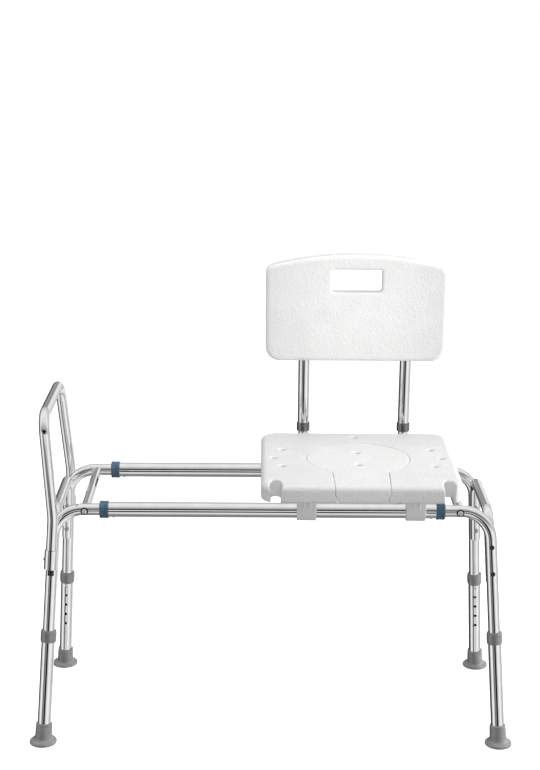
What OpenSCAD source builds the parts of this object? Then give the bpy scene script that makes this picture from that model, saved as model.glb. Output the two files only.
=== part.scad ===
// Sliding bath transfer bench with a removable backrest, a lift-out seat insert and a clip-on grab handle.
// Millimetres. X runs along the rails, -Y is the front, +Z is up. The origin is on the floor under the middle.

/* [Main sizes] */
// Height of the rail centre lines above the floor, legs at their highest setting
rail_z = 510; // [440:1:560]
// Distance between the front and rear rail centre lines
rail_gap = 272; // [220:1:340]
// Half the length of each rail tube
rail_half = 352; // [280:1:420]
// Sideways distance from the middle to each foot centre
foot_x = 492; // [400:1:560]
// Front-to-back distance from the middle to each foot centre
foot_y = 202; // [160:1:260]
// Where the rail line and the leg line would cross, measured from the middle
knee_x = 456; // [380:1:520]

/* [Tubes] */
// Outside diameter of the two slide rails
rail_d = 31.75; // [25:0.05:38]
// Outside diameter of the bent end tubes and backrest posts
frame_d = 25.4; // [19:0.1:32]
// Outside diameter of the lower leg tubes
leg_d = 28.6; // [22:0.1:35]
// Outside diameter of the grab handle and of the backrest stubs
handle_d = 22.2; // [16:0.1:28]
// Outside diameter of the side arch braces
arch_d = 22.2; // [14:0.1:26]
// Outside diameter of the end cross tubes
cross_d = 19; // [14:0.5:24]
// Wall thickness of the tubes
wall = 1.5; // [1:0.1:2.5]
// Centre line radius of the end tube bends
knee_r = 64; // [40:1:90]

/* [Legs] */
// Height of the adjusting hole that is in use
button_z = 219; // [160:1:280]
// Spacing of the adjusting holes
hole_pitch = 25.4; // [15:0.1:40]
// Number of adjusting holes in each row
hole_count = 5; // [2:1:8]
// Outside diameter of the grey leg collars
collar_d = 33.6; // [31:0.1:40]
// Height of each leg collar
collar_h = 26; // [14:1:40]
// Radius of the rubber foot's flange
foot_r = 29; // [20:0.5:40]
// Height of the rubber foot along the leg
foot_h = 44; // [25:1:70]

/* [Seat] */
// Sideways position of the seat's middle
seat_x = 185.5; // [0:0.5:200]
// Seat width
seat_w = 420; // [320:1:460]
// Front face of the seat
seat_front = -192; // [-230:1:-160]
// Rear face of the seat
seat_rear = 202; // [160:1:230]
// Height of the seat's top surface
seat_top = 581; // [540:1:620]
// Seat thickness
seat_t = 37; // [25:1:60]
// Radius of the seat's plan corners
seat_corner = 35; // [10:1:60]
// Radius of the round part of the lift-out insert
insert_r = 112; // [80:1:140]
// Thickness of the insert
insert_t = 22; // [10:1:30]
// Gap all round the insert
insert_gap = 1.2; // [0.6:0.1:3]
// Diameter of the drain holes
drain_d = 13; // [6:0.5:18]
// How far the seat can slide to the left
travel = 370; // [100:5:380]

/* [Backrest] */
// Backrest width
back_w = 402; // [300:1:450]
// Height of the backrest's lower edge
back_low = 750; // [650:1:850]
// Height of the backrest's top edge in the middle
back_high = 989; // [880:1:1080]
// Rise of the arched top edge
back_rise = 19; // [0:1:40]
// Front face of the backrest
back_front = 188; // [150:1:210]
// Backrest thickness
back_t = 29; // [15:1:40]
// Half the spacing of the two posts and of the glide clamps
post_half = 114.25; // [60:0.25:160]
// Front-to-back position of the posts
post_y = 214.5; // [180:0.5:240]

/* [Grab handle] */
// Height of the handle's top bar
handle_top = 711; // [620:1:800]
// Height of the slight outward bend
handle_bend = 500; // [440:1:560]
// Sideways position of the top bar, measured outward
handle_out = 472; // [440:1:500]
// Centre line radius of the top corners
handle_r = 46; // [30:1:80]

/* [Hidden] */
$fn = 96;
fit = 0.05;                 // radial clearance of a telescoping fit
bend_lap = 0.6;             // how far a straight tube reaches into its bend
bend_step = 0.1;            // how much larger a bend is than its straight tubes
rail_y = rail_gap / 2;
rail_wall = 1.6;
slope_x = (foot_x - knee_x) / rail_z;
slope_y = (foot_y - rail_y) / rail_z;
leg_scale = sqrt(1 + slope_x * slope_x + slope_y * slope_y);
leg_tilt_x = -asin(slope_y / leg_scale);
leg_tilt_y = -atan(slope_x);
upper_end_z = button_z - 24;        // lower end of the upper leg tube
tube_top = button_z + 5 + collar_h - 4;
collar_low = button_z + 5;
frame_button_x = rail_half - 19;    // snap buttons under the rails
end_inside = 60;                    // length of end tube inside each rail
button_d = 6.8;
button_out = 2.4;                   // how far a sprung button stands out of its tube
button_in = 2.1;                    // how far below the tube's surface a pressed button stands
button_hole_d = 7;
cross_x = knee_x - 63.3;
rail_collar_d = 37;
rail_collar_w = 19;
arch_gap = frame_d / 2 + arch_d / 2 + 0.4;
arch_top = 498;
arch_end = 350;
arch_r = 35;
arch_bolts_z = [378, 435];
bolt_d = 6;
socket_d = 27.4;
socket_low = 388.5;
socket_h = 41;
socket_plate = 3;
socket_tab = 18;                    // how far the socket's plate reaches below its sleeve
socket_out = 28.2;
clamp_r = 21.2;
clamp_w = 41;
glide_gap = 0.35;
ear = 15;
seat_low = seat_top - seat_t;
seat_mid_y = (seat_front + seat_rear) / 2;
insert_y = 6;
throat_back = 62.5;                 // half widths of the insert's front part
throat_front = 57.5;
throat_low = 52;
lip_t = 18;
ledge = 11;
notch_x = 179.5;                    // notches for a hand shower or a cane
notch_d = 27;
notch_neck = 20;
notch_mid = 16;                     // depths of the widest part and of the rear end's centre
notch_end = 36;
stub_z = seat_low + 12;
stub_r = 24;
stub_front = 66;
stub_top = 662;
post_low = 583.5;
post_high = 925;
post_button_z = 640;
cap_h = 20;
lock_x = seat_x - post_half;
lock_pin_d = 7;
back_mid = (back_low + back_high) / 2;
back_corner = 32;
grip_w = 112;
grip_h = 50;
grip_z = 931;
screw_d = 5;
glide_screw_x = 14;                 // sideways distance of a glide clamp's screws from its middle

// ---------- helpers ----------

// A point on the front right leg's centre line at height z
function leg_point(z) = [foot_x - z * slope_x, -(foot_y - z * slope_y), z];
function unit(v) = v / norm(v);
// Distance from a bend's corner point to the start of its curve
function bend_reach(u, v, r) = r * tan(acos(u * v) / 2);

// The four corners of the bench, drawn for the front right and mirrored
module corner(side, face) {
    if (side > 0 && face < 0) children();
    if (side < 0 && face < 0) mirror([1, 0, 0]) children();
    if (side > 0 && face > 0) mirror([0, 1, 0]) children();
    if (side < 0 && face > 0) mirror([1, 0, 0]) mirror([0, 1, 0]) children();
}

// Front right leg frame at height z: local z runs up the leg, local y points to the rear
module on_leg(z) {
    translate(leg_point(z)) rotate([leg_tilt_x, leg_tilt_y, 0]) children();
}

// Cross-section of a round tube; t is its wall
module ring(d, t) {
    difference() {
        circle(d = d);
        circle(d = d - 2 * t);
    }
}

// A straight tube between two points
module straight(a, b, d, t) {
    v = b - a;
    translate(a) rotate([0, acos(v[2] / norm(v)), atan2(v[1], v[0])])
        linear_extrude(height = norm(v)) ring(d, t);
}

// One bend at point p, from direction u to direction v
module bend(p, u, v, r, d, t) {
    n = unit(cross(u, v));
    start = cross(u, n);
    angle = acos(u * v);
    centre = p + unit(v - u) * r / cos(angle / 2);
    translate(centre)
        rotate([0, acos(n[2]), atan2(n[1], n[0])])
            rotate([0, 0, atan2(u[2], -start[2])])
                rotate_extrude(angle = angle) translate([r, 0]) ring(d, t);
}

// A bent tube through points p, with one bend radius for each inner point.
// The straights reach a little way into the bends, whose walls are a hair thicker.
module bent_tube(p, r, d, t) {
    last = len(p) - 1;
    for (i = [0 : last - 1]) {
        u = unit(p[i + 1] - p[i]);
        skip_a = i == 0 ? 0 : bend_reach(unit(p[i] - p[i - 1]), u, r[i - 1]) - bend_lap;
        skip_b = i == last - 1 ? 0 : bend_reach(u, unit(p[i + 2] - p[i + 1]), r[i]) - bend_lap;
        straight(p[i] + u * skip_a, p[i + 1] - u * skip_b, d, t);
        if (i < last - 1)
            bend(p[i + 1], u, unit(p[i + 2] - p[i + 1]), r[i], d + bend_step, t + bend_step);
    }
}

// A round tube along z
module tube(d, t, h) {
    difference() {
        cylinder(d = d, h = h);
        translate([0, 0, -1]) cylinder(d = d - 2 * t, h = h + 2);
    }
}

// A spring button along +y, from inner to a flat tip that stands out past radius surface, or below it if out < 0
module snap_button(surface, inner, out) {
    rotate([-90, 0, 0]) {
        translate([0, 0, inner]) cylinder(d = button_d, h = surface + out - inner - 1.2);
        translate([0, 0, surface + out - 1.2]) cylinder(d1 = button_d, d2 = button_d - 2.4, h = 1.2);
    }
}

// A dome-headed bolt along +y: head at 0, shank of length l
module dome_bolt(d, head_d, head_h, l) {
    rotate([-90, 0, 0]) {
        translate([0, 0, -head_h]) cylinder(d1 = head_d - 3, d2 = head_d, h = head_h / 2);
        translate([0, 0, -head_h / 2]) cylinder(d = head_d, h = head_h / 2);
        cylinder(d = d, h = l);
    }
}

// An upright plate with rounded corners, thickness along z
module rounded_plate(w, l, t, r) {
    translate([-w / 2 + r, -l / 2, 0]) cube([w - 2 * r, l, t]);
    translate([-w / 2, -l / 2 + r, 0]) cube([w, l - 2 * r, t]);
    for (x = [-1, 1], y = [-1, 1])
        translate([x * (w / 2 - r), y * (l / 2 - r), 0]) cylinder(r = r, h = t);
}

// ---------- fixed frame ----------

// One slide rail: a straight tube with button holes underneath
module rail(y, lock_holes) {
    translate([0, y, rail_z]) difference() {
        translate([-rail_half, 0, 0]) rotate([0, 90, 0]) tube(rail_d, rail_wall, 2 * rail_half);
        for (s = [-1, 1]) translate([s * frame_button_x, 0, -rail_d]) cylinder(d = button_hole_d, h = rail_d);
        for (x = lock_holes) translate([x, 0, -rail_d]) cylinder(d = lock_pin_d + 0.8, h = rail_d);
    }
}

module rail_front() color("silver") rail(-rail_y, []);
// The rear rail also has the three holes that the seat lock pin can enter
module rail_rear() color("silver")
    rail(rail_y, [lock_x, lock_x - travel / 2, lock_x - travel]);

// Collar that closes the rail's end and centres the end tube in it
module rail_collar() {
    translate([rail_half - rail_collar_w / 2, -rail_y, rail_z]) rotate([0, 90, 0]) difference() {
        union() {
            cylinder(d = rail_collar_d - 1.6, h = rail_collar_w);
            translate([0, 0, 0.8]) cylinder(d = rail_collar_d, h = rail_collar_w - 1.6);
        }
        translate([0, 0, -1]) cylinder(d = frame_d + 2 * fit, h = rail_collar_w + 2);
        difference() {
            translate([0, 0, -1]) cylinder(d = rail_d + 2 * fit, h = rail_collar_w / 2 + 1 + fit);
            translate([0, 0, -2]) cylinder(d = rail_d - 2 * rail_wall - 2 * fit, h = rail_collar_w);
        }
    }
}

module rail_collars() color([0.29, 0.42, 0.53])
    for (s = [-1, 1], f = [-1, 1]) corner(s, f) rail_collar();

// Bent end tube: out of the rail, round the knee and down into the leg
module end_tube() {
    start = [rail_half - end_inside, -rail_y, rail_z];
    knee = [knee_x, -rail_y, rail_z];
    difference() {
        bent_tube([start, knee, leg_point(upper_end_z)], [knee_r], frame_d, wall);
        // snap button holes
        translate([frame_button_x, -rail_y, rail_z - frame_d]) cylinder(d = button_hole_d, h = frame_d);
        on_leg(button_z) rotate([-90, 0, 0]) cylinder(d = button_hole_d, h = frame_d);
        // bolt holes for the cross tube and the arch brace
        translate([cross_x, -rail_y - frame_d, rail_z]) rotate([-90, 0, 0]) cylinder(d = bolt_d + 0.2, h = 2 * frame_d);
        for (z = arch_bolts_z) on_leg(z) translate([0, -frame_d, 0]) rotate([-90, 0, 0])
            cylinder(d = bolt_d + 0.2, h = 2 * frame_d);
    }
}

module end_tube_fl() color("silver") corner(-1, -1) end_tube();
module end_tube_fr() color("silver") corner(1, -1) end_tube();
module end_tube_rl() color("silver") corner(-1, 1) end_tube();
module end_tube_rr() color("silver") corner(1, 1) end_tube();

// Straight tube across one end, with solid threaded plugs in both ends
module cross_tube(x) {
    len_y = rail_gap - 2 * 7;
    plug = 26;
    translate([x, 0, rail_z]) difference() {
        translate([0, -len_y / 2, 0]) rotate([-90, 0, 0]) cylinder(d = cross_d, h = len_y);
        translate([0, -len_y / 2 + plug, 0]) rotate([-90, 0, 0]) cylinder(d = cross_d - 2 * wall, h = len_y - 2 * plug);
        for (f = [-1, 1]) {
            translate([-30, f * rail_y, 0]) rotate([0, 90, 0]) cylinder(d = frame_d + 0.4, h = 60);
            translate([0, f * rail_y, 0]) rotate([f * 90, 0, 0]) cylinder(d = bolt_d + 0.1, h = plug + 6);
        }
    }
}

module cross_tube_left() color("silver") cross_tube(-cross_x);
module cross_tube_right() color("silver") cross_tube(cross_x);

// Bolts with washers that hold the cross tubes
module cross_bolts() color([0.55, 0.56, 0.58])
    for (s = [-1, 1], f = [-1, 1]) corner(s, f)
        translate([cross_x, -rail_y - frame_d / 2 - 1.8, rail_z]) {
            dome_bolt(bolt_d, 11, 4, frame_d + 14);
            rotate([-90, 0, 0]) difference() {
                cylinder(d = 16.5, h = 1.6);
                translate([0, 0, -1]) cylinder(d = bolt_d - 0.4, h = 4);
            }
        }

// Upside-down U brace that ties the front and rear legs of one end together
module arch_brace(side) {
    s = slope_y * cos(leg_tilt_y);
    lean = atan(s);
    function arch_y(z) = -(foot_y - s * z) + arch_gap / cos(lean);
    top = arch_top / cos(leg_tilt_y);
    low = arch_end / cos(leg_tilt_y);
    p = [[0, arch_y(low), low], [0, arch_y(top), top], [0, -arch_y(top), top], [0, -arch_y(low), low]];
    corner(side, -1) difference() {
        translate([foot_x, 0, 0]) rotate([0, leg_tilt_y, 0]) bent_tube(p, [arch_r, arch_r], arch_d, wall);
        for (f = [-1, 1], z = arch_bolts_z) corner(1, f) on_leg(z)
            rotate([-90, 0, 0]) cylinder(d = bolt_d + 0.2, h = 2 * frame_d);
    }
}

module arch_brace_left() color("silver") arch_brace(-1);
module arch_brace_right() color("silver") arch_brace(1);

// One through bolt with a dome head outside the leg and a dome nut inside the arch
module arch_bolt(lift) {
    far = frame_d / 2 + arch_d + 0.6;
    translate([0, -frame_d / 2 - 0.2 - lift, 0]) dome_bolt(bolt_d, 10.6, 3.5, frame_d / 2 + 0.2 + lift + far + 1);
    translate([0, far, 0]) rotate([-90, 0, 0]) {
        cylinder(d = 10.6, h = 2);
        translate([0, 0, 2]) cylinder(d1 = 10.6, d2 = 7, h = 2);
    }
}

// On the left the lower bolts also hold the handle sockets, so their heads sit further out
module arch_bolts() color([0.2, 0.2, 0.21])
    for (s = [-1, 1], f = [-1, 1], i = [0, 1]) corner(s, f)
        on_leg(arch_bolts_z[i]) arch_bolt(s < 0 && i == 0 ? socket_plate + 0.2 : 0);

// ---------- grab handle ----------

// Socket for one end of the grab handle: a sleeve with a plate that is bolted to the leg
module handle_socket() {
    mid = socket_low + socket_h / 2;
    on_leg(mid) difference() {
        union() {
            translate([0, -socket_out, -socket_h / 2]) cylinder(d = socket_d, h = socket_h);
            translate([-6.5, -frame_d / 2 - 0.2 - socket_plate, -socket_h / 2 - socket_tab])
                cube([13, socket_plate, socket_h + socket_tab - 2]);
        }
        translate([0, -socket_out, -socket_h]) cylinder(d = handle_d + 2 * fit, h = 2 * socket_h);
        translate([0, -socket_out, 0]) rotate([0, 90, 0]) cylinder(d = button_hole_d, h = socket_d);
        on_leg_hole = (arch_bolts_z[0] - mid) * leg_scale;
        translate([0, -frame_d, on_leg_hole]) rotate([-90, 0, 0]) cylinder(d = bolt_d + 0.2, h = frame_d);
    }
}

module handle_socket_front() color("silver") corner(-1, -1) handle_socket();
module handle_socket_rear() color("silver") corner(-1, 1) handle_socket();

// Centre line point of the handle's lower part, parallel to the leg
function handle_point(z) = leg_point(z) + [0, -socket_out / cos(leg_tilt_x), 0];

module grab_handle() color("silver") {
    low = handle_point(socket_low + 3);
    knee = handle_point(handle_bend);
    top_y = handle_point(handle_top)[1];
    top = [handle_out, top_y, handle_top];
    corner(-1, -1) difference() {
        bent_tube([low, knee, top, [top[0], -top[1], top[2]], [knee[0], -knee[1], knee[2]], [low[0], -low[1], low[2]]],
            [170, handle_r, handle_r, 170], handle_d, wall);
        for (f = [-1, 1]) corner(1, f) on_leg(socket_low + socket_h / 2) translate([0, -socket_out, 0])
            rotate([0, 90, 0]) cylinder(d = button_hole_d, h = handle_d);
    }
}

// Snap buttons that hold the handle in its sockets, facing outward
module handle_button(f) {
    corner(-1, f) on_leg(socket_low + socket_h / 2) translate([0, -socket_out, 0])
        rotate([0, 0, -90]) snap_button(socket_d / 2, 5.5, button_out);
}
module handle_button_front() color("gray") handle_button(-1);
module handle_button_rear() color("gray") handle_button(1);

// ---------- legs ----------

// Lower leg tube with two rows of adjusting holes
module leg_tube() {
    bottom = 11;
    on_leg(0) difference() {
        translate([0, 0, bottom]) tube(leg_d, (leg_d - frame_d) / 2 - fit, tube_top * leg_scale - bottom);
        for (i = [0 : hole_count - 1]) translate([0, 0, button_z * leg_scale - i * hole_pitch]) {
            rotate([-90, 0, 0]) cylinder(d = button_hole_d, h = leg_d);
            rotate([0, 90, 0]) cylinder(d = button_hole_d, h = leg_d);
        }
    }
}

// Collar at the top of the lower tube
module leg_collar() {
    on_leg(collar_low) difference() {
        union() {
            cylinder(d = collar_d - 1.4, h = collar_h);
            translate([0, 0, 1]) cylinder(d = collar_d, h = collar_h - 4);
        }
        translate([0, 0, -1]) cylinder(d = leg_d + 0.04, h = (tube_top - collar_low) * leg_scale + 1.02);
        translate([0, 0, -1]) cylinder(d = frame_d + 0.7, h = collar_h + 2);
    }
}

// Rubber foot: a cup on the tube and a flat flange on the floor
module foot() {
    difference() {
        union() {
            translate([foot_x, -foot_y, 0]) rotate_extrude()
                polygon([[0, 0], [foot_r - 2, 0], [foot_r, 2], [foot_r, 4.5], [foot_r - 2.5, 7.5],
                    [foot_r - 7, 10], [foot_r - 9.5, 13.5], [foot_r - 10.5, 17], [0, 17]]);
            on_leg(0) translate([0, 0, 6]) cylinder(d1 = 36.4, d2 = 34.6, h = foot_h - 6);
        }
        on_leg(0) translate([0, 0, 11]) cylinder(d = leg_d + 0.04, h = foot_h);
    }
}

module leg_tube_fl() color("silver") corner(-1, -1) leg_tube();
module leg_tube_fr() color("silver") corner(1, -1) leg_tube();
module leg_tube_rl() color("silver") corner(-1, 1) leg_tube();
module leg_tube_rr() color("silver") corner(1, 1) leg_tube();
module leg_collar_fl() color("dimgray") corner(-1, -1) leg_collar();
module leg_collar_fr() color("dimgray") corner(1, -1) leg_collar();
module leg_collar_rl() color("dimgray") corner(-1, 1) leg_collar();
module leg_collar_rr() color("dimgray") corner(1, 1) leg_collar();
module foot_fl() color("gray") corner(-1, -1) foot();
module foot_fr() color("gray") corner(1, -1) foot();
module foot_rl() color("gray") corner(-1, 1) foot();
module foot_rr() color("gray") corner(1, 1) foot();

// Snap button of one leg, facing the middle of the bench, drawn pressed in so that the leg can slide
module leg_button() on_leg(button_z) snap_button(leg_d / 2, 2.2, -button_in);
module leg_button_fl() color("gray") corner(-1, -1) leg_button();
module leg_button_fr() color("gray") corner(1, -1) leg_button();
module leg_button_rl() color("gray") corner(-1, 1) leg_button();
module leg_button_rr() color("gray") corner(1, 1) leg_button();

// Snap button that holds one end tube in its rail, facing down
module rail_button() translate([frame_button_x, -rail_y, rail_z]) rotate([-90, 0, 0])
    snap_button(rail_d / 2, 6.5, button_out);
module rail_button_fl() color("gray") corner(-1, -1) rail_button();
module rail_button_fr() color("gray") corner(1, -1) rail_button();
module rail_button_rl() color("gray") corner(-1, 1) rail_button();
module rail_button_rr() color("gray") corner(1, 1) rail_button();

// ---------- seat ----------

// The insert's flat part, grown by g: a disc with a tapered throat that reaches the front lip
module insert_block(g, h) {
    front = seat_front + lip_t - 4 - insert_y;
    taper = (throat_back - throat_front) / (insert_r * 0.95);
    wide = throat_front + g;
    cylinder(r = insert_r + g, h = h);
    linear_extrude(height = h)
        polygon([[-wide + taper * front, 0], [wide - taper * front, 0], [wide, front], [-wide, front]]);
}

// The insert's front lip, grown by g at the sides: as deep as the seat and narrower at the bottom
module insert_lip(g, depth) {
    translate([0, depth, 0]) rotate([90, 0, 0]) linear_extrude(height = depth)
        polygon([[-throat_low - g, 0], [throat_low + g, 0], [throat_front + g, seat_t], [-throat_front - g, seat_t]]);
}

// Drain holes of the seat: three on each side and one behind the insert
drain_points = [[-163, 62], [-182, 2], [-163, -55], [163, 62], [182, 2], [163, -55], [0, 158]];

// Plan of one notch, from the seat's front face: a narrow mouth and an egg-shaped slot behind it
module notch_plan() {
    hull() {
        translate([0, notch_mid]) circle(d = notch_d);
        translate([0, notch_end]) circle(d = notch_neck);
    }
    translate([-notch_neck / 2, -1]) square([notch_neck, notch_mid]);
}

module seat_base() color("white") {
    difference() {
        translate([seat_x, seat_mid_y, seat_low])
            rounded_plate(seat_w, seat_rear - seat_front, seat_t, seat_corner);
        // seat of the insert and the opening below it
        translate([seat_x, insert_y, seat_top - insert_t]) insert_block(0, insert_t + 1);
        translate([seat_x, insert_y, seat_low - 1]) insert_block(-ledge, seat_t + 2);
        translate([seat_x, seat_front, seat_low]) insert_lip(0, lip_t);
        for (p = drain_points) translate([seat_x + p[0], insert_y + p[1], seat_low - 1])
            cylinder(d = drain_d, h = seat_t + 2);
        // keyhole notches right through the front corners
        for (s = [-1, 1]) translate([seat_x + s * notch_x, seat_front, seat_low - 1]) {
            linear_extrude(height = seat_t + 2) notch_plan();
        }
        // channels and clearance for the backrest stubs
        for (s = [-1, 1]) translate([seat_x + s * post_half, 0, 0]) {
            translate([0, stub_front - 0.5, stub_z]) rotate([-90, 0, 0]) cylinder(d = handle_d + 0.6, h = seat_rear);
            translate([-handle_d / 2 - 0.3, stub_front - 0.5, seat_low - 1])
                cube([handle_d + 0.6, seat_rear - stub_front + 2, stub_z - seat_low + 1]);
            translate([-handle_d / 2 - 0.3, post_y - stub_r - 1, stub_z])
                cube([handle_d + 0.6, stub_r, stub_r - 4]);
        }
        // screw holes for the glide clamps
        for (p = glide_screw_points()) translate([p[0], p[1], seat_low - 1]) cylinder(d = screw_d - 0.6, h = 15);
        // shallow moulded dimples in the underside
        for (x = [-140, 140], y = [-90, 28, 92, 170]) translate([seat_x + x, y, seat_low - 1])
            cylinder(d1 = 34, d2 = 30, h = 6);
    }
}

module seat_insert() color("white") difference() {
    union() {
        translate([seat_x, insert_y, seat_top - insert_t + 0.15]) insert_block(-insert_gap, insert_t - 0.15);
        translate([seat_x, seat_front, seat_low]) insert_lip(-insert_gap, lip_t - insert_gap);
    }
    for (y = [-45, 41]) translate([seat_x, insert_y + y, seat_low]) cylinder(d = drain_d, h = seat_t + 1);
    // finger hollow underneath
    translate([seat_x, insert_y - 120, seat_low]) cylinder(d = 50, h = seat_t - insert_t + 10);
}

// Centre line of a backrest stub, in the plane of its post
function stub_path() = [[0, stub_front, stub_z], [0, post_y, stub_z], [0, post_y, stub_top]];

// Bent stub tube under the seat that carries one backrest post
module post_stub(s) {
    translate([seat_x + s * post_half, 0, 0]) difference() {
        bent_tube(stub_path(), [stub_r], handle_d, wall);
        translate([0, post_y, post_button_z]) rotate([-90, 0, 0]) cylinder(d = button_hole_d, h = handle_d);
    }
}
module post_stub_left() color("silver") post_stub(-1);
module post_stub_right() color("silver") post_stub(1);

// The four places where a glide clamp holds a rail
function clamp_points() = [for (s = [-1, 1], f = [-1, 1]) [seat_x + s * post_half, f * rail_y]];
function glide_screw_points() = [for (c = clamp_points(), x = [-glide_screw_x, glide_screw_x], y = [-1, 1])
    [c[0] + x, c[1] + y * (clamp_r + ear / 2)]];

// One glide clamp: it wraps the rail and has an ear on each side under the seat
module glide_clamp() {
    difference() {
        union() {
            rotate([0, 90, 0]) cylinder(r = clamp_r, h = clamp_w, center = true);
            translate([-clamp_w / 2, -clamp_r, 0]) cube([clamp_w, 2 * clamp_r, seat_low - rail_z - 0.1]);
            translate([-clamp_w / 2, -clamp_r - ear, seat_low - rail_z - 4.1]) cube([clamp_w, 2 * (clamp_r + ear), 4]);
        }
        rotate([0, 90, 0]) cylinder(r = rail_d / 2 + glide_gap, h = clamp_w + 2, center = true);
        for (x = [-glide_screw_x, glide_screw_x], y = [-1, 1])
            translate([x, y * (clamp_r + ear / 2), 0]) cylinder(d = screw_d, h = 60);
    }
}

// The rear left clamp has the bore of the seat lock pin
module glide_clamps() color("whitesmoke")
    difference() {
        for (c = clamp_points()) translate([c[0], c[1], rail_z]) glide_clamp();
        translate([lock_x, rail_y, rail_z - 60]) cylinder(d = lock_pin_d + 0.12, h = 60);
    }

module glide_screws() color("gray")
    for (p = glide_screw_points()) translate([p[0], p[1], seat_low - 4.2]) {
        translate([0, 0, -2.6]) cylinder(d1 = 6, d2 = 9, h = 2.6);
        cylinder(d = screw_d - 0.64, h = 16);
    }

// Funnel-shaped housing of the seat lock under the rear left clamp
module lock_housing() color("whitesmoke")
    translate([lock_x, rail_y, rail_z - clamp_r]) difference() {
        union() {
            translate([0, 0, -21]) cylinder(d1 = 13, d2 = 30, h = 20.8 - 4);
            translate([0, 0, -4.2]) cylinder(d = 30, h = 4);
        }
        translate([0, 0, -30]) cylinder(d = lock_pin_d + 0.12, h = 40);
        translate([0, 0, -3.2]) cylinder(d = 20, h = 6);
    }

// Pull pin of the seat lock, drawn released; it moves up into a rail hole
module lock_pin() color("whitesmoke") translate([lock_x, rail_y, 0]) {
    tip = rail_z - rail_d / 2 - 0.4;
    translate([0, 0, tip - 60]) cylinder(d = lock_pin_d, h = 58.5);
    translate([0, 0, tip - 1.5]) cylinder(d1 = lock_pin_d, d2 = lock_pin_d - 2, h = 1.5);
    translate([0, 0, tip - 62]) cylinder(d = 12, h = 16);
    translate([0, 0, tip - 64]) cylinder(d1 = 8, d2 = 12, h = 2);
}

// ---------- backrest ----------

module backrest() color("white") translate([seat_x, 0, 0]) {
    rise_r = (pow(back_w / 2 - back_corner, 2) + back_rise * back_rise) / (2 * back_rise);
    difference() {
        intersection() {
            translate([0, back_front + back_t, back_mid]) rotate([90, 0, 0])
                rounded_plate(back_w, back_high - back_low, back_t, back_corner);
            translate([0, back_front - 1, back_high - rise_r]) rotate([-90, 0, 0])
                cylinder(r = rise_r, h = back_t + 2, $fn = 240);
        }
        // hand hole
        translate([0, back_front + back_t + 1, grip_z]) rotate([90, 0, 0])
            rounded_plate(grip_w, grip_h, back_t + 2, 7);
        // channels for the posts and holes for their screws
        for (s = [-1, 1]) translate([s * post_half, post_y, 0]) {
            translate([0, 0, back_low - 1]) cylinder(d = frame_d + 0.3, h = post_high - back_low + 4);
            for (z = screw_heights) translate([0, 0, z]) rotate([90, 0, 0]) cylinder(d = screw_d - 0.6, h = 24);
        }
    }
}
screw_heights = [785, 880];

module post(s) translate([seat_x + s * post_half, post_y, 0]) difference() {
    translate([0, 0, post_low]) tube(frame_d, (frame_d - handle_d) / 2 - fit, post_high - post_low);
    translate([0, 0, post_button_z]) rotate([-90, 0, 0]) cylinder(d = button_hole_d, h = frame_d);
    for (z = screw_heights) translate([0, -frame_d, z]) rotate([-90, 0, 0]) cylinder(d = screw_d, h = 2 * frame_d);
}
module post_left() color("silver") post(-1);
module post_right() color("silver") post(1);

// Dark collars on the lower ends of the posts
module post_caps() color([0.25, 0.25, 0.27])
    for (s = [-1, 1]) translate([seat_x + s * post_half, post_y, post_low - 1.5]) difference() {
        union() {
            cylinder(d = 28, h = cap_h);
            translate([0, 0, 1]) cylinder(d = 29.4, h = cap_h - 3);
        }
        translate([0, 0, 1.5]) cylinder(d = frame_d + 0.04, h = cap_h);
        translate([0, 0, -1]) cylinder(d = handle_d + 0.7, h = cap_h);
    }

// Plugs in the upper ends of the posts
module post_plugs() color([0.25, 0.25, 0.27])
    for (s = [-1, 1]) translate([seat_x + s * post_half, post_y, post_high]) {
        translate([0, 0, 0.05]) cylinder(d1 = frame_d - 0.1, d2 = frame_d - 3, h = 2.5);
        translate([0, 0, -12]) cylinder(d = handle_d - 0.2, h = 12.1);
    }

module back_screws() color("gray")
    for (s = [-1, 1], z = screw_heights) translate([seat_x + s * post_half, post_y + frame_d / 2 + 0.3, z])
        rotate([90, 0, 0]) {
            translate([0, 0, -2.4]) cylinder(d1 = 6, d2 = 9, h = 2.4);
            cylinder(d = screw_d - 0.64, h = 36);
        }

// Snap buttons of the backrest, facing the rear, drawn pressed in so that the posts can lift off
module post_button(s) translate([seat_x + s * post_half, post_y, post_button_z])
    snap_button(frame_d / 2, 1.2, -button_in);
module post_button_left() color("gray") post_button(-1);
module post_button_right() color("gray") post_button(1);

// ---------- parts ----------

rail_front();
rail_rear();
rail_collars();
end_tube_fl();
end_tube_fr();
end_tube_rl();
end_tube_rr();
cross_tube_left();
cross_tube_right();
cross_bolts();
arch_brace_left();
arch_brace_right();
arch_bolts();
handle_socket_front();
handle_socket_rear();
grab_handle();
handle_button_front();
handle_button_rear();
leg_tube_fl();
leg_tube_fr();
leg_tube_rl();
leg_tube_rr();
leg_collar_fl();
leg_collar_fr();
leg_collar_rl();
leg_collar_rr();
foot_fl();
foot_fr();
foot_rl();
foot_rr();
leg_button_fl();
leg_button_fr();
leg_button_rl();
leg_button_rr();
rail_button_fl();
rail_button_fr();
rail_button_rl();
rail_button_rr();
seat_base();
seat_insert();
post_stub_left();
post_stub_right();
glide_clamps();
glide_screws();
lock_housing();
lock_pin();
backrest();
post_left();
post_right();
post_caps();
post_plugs();
back_screws();
post_button_left();
post_button_right();
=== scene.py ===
import bpy, bmesh, math
import numpy as np
import openvdb
from mathutils import Matrix, Vector
from mathutils.geometry import delaunay_2d_cdt


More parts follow.
